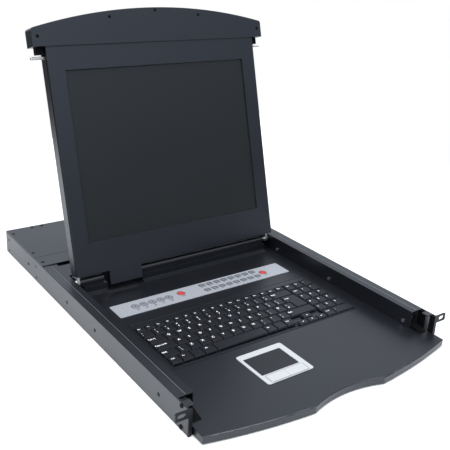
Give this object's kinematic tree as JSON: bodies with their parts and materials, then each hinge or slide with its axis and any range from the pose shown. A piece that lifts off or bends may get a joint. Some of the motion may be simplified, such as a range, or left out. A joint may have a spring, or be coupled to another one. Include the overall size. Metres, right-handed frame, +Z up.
{
  "type": "rackmount lcd console drawer",
  "caption": "One-unit rack console: a steel chassis with a drawer on ball slides that holds a keyboard, touchpad and switch keys, and a hinged flat screen that folds over them.",
  "frame": {"origin": "on the underside of the chassis, in the plane of the back of the rack ears, midway between the side walls", "axes": "+X to the user's right, +Y into the rack, +Z up"},
  "size_m": [0.4826, 0.6644, 0.4443],
  "materials": {
    "chassis_steel": "fine-textured black powder coat",
    "drawer_steel": "fine-textured black powder coat",
    "zinc_steel": "dark zinc plated",
    "screws": "black oxide",
    "nickel": "bright nickel",
    "screen_shell": "black painted aluminium",
    "black_plastic": "moulded",
    "key_plastic": "moulded caps",
    "silver_plastic": "silver painted",
    "grey_plastic": "moulded",
    "red_plastic": "translucent red",
    "display": "dark screen",
    "circuit_board": "green solder mask"
  },
  "bodies": {
    "chassis": {"chassis_tray": "chassis_steel", "rear_panel": "chassis_steel", "top_cover": "chassis_steel", "cover_front_strip": "chassis_steel", "rack_ear_left": "chassis_steel", "rack_ear_right": "chassis_steel", "chassis_screws": "screws", "slide_outer_left": "zinc_steel", "slide_outer_right": "zinc_steel", "power_inlet": "black_plastic", "power_supply": "zinc_steel", "switch_board": "circuit_board", "port_connectors": "nickel"},
    "middle_rails": {"slide_middle_left": "zinc_steel", "slide_middle_right": "zinc_steel"},
    "outer_cages": {"ball_cages_outer": "zinc_steel"},
    "inner_cages": {"ball_cages_inner": "zinc_steel"},
    "drawer": {"drawer_tray": "drawer_steel", "front_deck": "drawer_steel", "hinge_base": "drawer_steel", "rear_deck": "drawer_steel", "slide_inner_left": "zinc_steel", "slide_inner_right": "zinc_steel", "control_strip": "silver_plastic", "control_board": "circuit_board", "keyboard_frame": "drawer_steel", "keyboard_membrane": "grey_plastic", "touchpad_frame": "silver_plastic", "touchpad_surface": "black_plastic", "drawer_screws": "screws", "hinge_barrel_left": "drawer_steel", "hinge_barrel_right": "drawer_steel"},
    "screen": {"lcd_back_cover": "screen_shell", "lcd_bezel": "screen_shell", "lcd_panel": "display", "lcd_driver_board": "circuit_board", "bezel_bar": "screen_shell", "lcd_screws": "screws", "hinge_arm_left": "nickel", "hinge_arm_right": "nickel"},
    "latch_left": {"latch_block_left": "black_plastic", "latch_pin_left": "nickel"},
    "latch_right": {"latch_block_right": "black_plastic", "latch_pin_right": "nickel"},
    "catch_left": {"drawer_catch_left": "black_plastic"},
    "catch_right": {"drawer_catch_right": "black_plastic"},
    "click_left": {"touchpad_button_left": "silver_plastic"},
    "click_right": {"touchpad_button_right": "silver_plastic"},
    "menu_keys": {"menu_buttons": "grey_plastic"},
    "power_key": {"power_button": "red_plastic"},
    "reset_key": {"reset_button": "red_plastic"},
    "port_keys": {"port_buttons": "grey_plastic"},
    "keys_function_set": {"keys_function": "key_plastic"},
    "keys_number_set": {"keys_number": "key_plastic"},
    "keys_upper_set": {"keys_upper": "key_plastic"},
    "keys_home_set": {"keys_home": "key_plastic"},
    "keys_lower_set": {"keys_lower": "key_plastic"},
    "keys_bottom_set": {"keys_bottom": "key_plastic"},
    "space_bar_set": {"space_bar": "key_plastic"},
    "keypad_set": {"keypad": "key_plastic"}
  },
  "joints": [
    {"name": "drawer_slide", "type": "slide", "parent": "chassis", "child": "drawer", "axis": [0, -1, 0], "range_m": [0, 0.4]},
    {"name": "middle_rails_slide", "type": "slide", "parent": "chassis", "child": "middle_rails", "axis": [0, -1, 0], "range_m": [0, 0.2]},
    {"name": "outer_cages_slide", "type": "slide", "parent": "chassis", "child": "outer_cages", "axis": [0, -1, 0], "range_m": [0, 0.1]},
    {"name": "inner_cages_slide", "type": "slide", "parent": "chassis", "child": "inner_cages", "axis": [0, -1, 0], "range_m": [0, 0.3]},
    {"name": "screen_hinge", "type": "hinge", "parent": "drawer", "child": "screen", "pos_m": [0, 0.374, 0.0316], "axis": [1, 0, 0], "range_deg": [-9, 105.8]},
    {"name": "latch_left_slide", "type": "slide", "parent": "screen", "child": "latch_left", "axis": [1, 0, 0], "range_m": [0, 0.0085], "stiffness_N_per_m": 300, "springref_m": -0.003},
    {"name": "catch_left_slide", "type": "slide", "parent": "drawer", "child": "catch_left", "axis": [1, 0, 0], "range_m": [0, 0.002], "stiffness_N_per_m": 400, "springref_m": -0.002},
    {"name": "click_left_press", "type": "slide", "parent": "drawer", "child": "click_left", "axis": [0, 0, -1], "range_m": [0, 0.0008], "stiffness_N_per_m": 600, "springref_m": -0.001},
    {"name": "latch_right_slide", "type": "slide", "parent": "screen", "child": "latch_right", "axis": [-1, 0, 0], "range_m": [0, 0.0085], "stiffness_N_per_m": 300, "springref_m": -0.003},
    {"name": "catch_right_slide", "type": "slide", "parent": "drawer", "child": "catch_right", "axis": [-1, 0, 0], "range_m": [0, 0.002], "stiffness_N_per_m": 400, "springref_m": -0.002},
    {"name": "click_right_press", "type": "slide", "parent": "drawer", "child": "click_right", "axis": [0, 0, -1], "range_m": [0, 0.0008], "stiffness_N_per_m": 600, "springref_m": -0.001},
    {"name": "menu_press", "type": "slide", "parent": "drawer", "child": "menu_keys", "axis": [0, 0, -1], "range_m": [0, 0.0005], "stiffness_N_per_m": 600, "springref_m": -0.001},
    {"name": "power_press", "type": "slide", "parent": "drawer", "child": "power_key", "axis": [0, 0, -1], "range_m": [0, 0.0005], "stiffness_N_per_m": 600, "springref_m": -0.001},
    {"name": "reset_press", "type": "slide", "parent": "drawer", "child": "reset_key", "axis": [0, 0, -1], "range_m": [0, 0.0005], "stiffness_N_per_m": 600, "springref_m": -0.001},
    {"name": "port_press", "type": "slide", "parent": "drawer", "child": "port_keys", "axis": [0, 0, -1], "range_m": [0, 0.0005], "stiffness_N_per_m": 600, "springref_m": -0.001},
    {"name": "keys_function_press", "type": "slide", "parent": "drawer", "child": "keys_function_set", "axis": [0, 0, -1], "range_m": [0, 0.0018], "stiffness_N_per_m": 500, "springref_m": -0.001},
    {"name": "keys_number_press", "type": "slide", "parent": "drawer", "child": "keys_number_set", "axis": [0, 0, -1], "range_m": [0, 0.0018], "stiffness_N_per_m": 500, "springref_m": -0.001},
    {"name": "keys_upper_press", "type": "slide", "parent": "drawer", "child": "keys_upper_set", "axis": [0, 0, -1], "range_m": [0, 0.0018], "stiffness_N_per_m": 500, "springref_m": -0.001},
    {"name": "keys_home_press", "type": "slide", "parent": "drawer", "child": "keys_home_set", "axis": [0, 0, -1], "range_m": [0, 0.0018], "stiffness_N_per_m": 500, "springref_m": -0.001},
    {"name": "keys_lower_press", "type": "slide", "parent": "drawer", "child": "keys_lower_set", "axis": [0, 0, -1], "range_m": [0, 0.0018], "stiffness_N_per_m": 500, "springref_m": -0.001},
    {"name": "keys_bottom_press", "type": "slide", "parent": "drawer", "child": "keys_bottom_set", "axis": [0, 0, -1], "range_m": [0, 0.0018], "stiffness_N_per_m": 500, "springref_m": -0.001},
    {"name": "space_bar_press", "type": "slide", "parent": "drawer", "child": "space_bar_set", "axis": [0, 0, -1], "range_m": [0, 0.0018], "stiffness_N_per_m": 500, "springref_m": -0.001},
    {"name": "keypad_press", "type": "slide", "parent": "drawer", "child": "keypad_set", "axis": [0, 0, -1], "range_m": [0, 0.0018], "stiffness_N_per_m": 500, "springref_m": -0.001}
  ],
  "couplings": [
    {"joint": "middle_rails_slide", "follows": "drawer_slide", "ratio": 0.5},
    {"joint": "outer_cages_slide", "follows": "drawer_slide", "ratio": 0.25},
    {"joint": "inner_cages_slide", "follows": "drawer_slide", "ratio": 0.75}
  ]
}
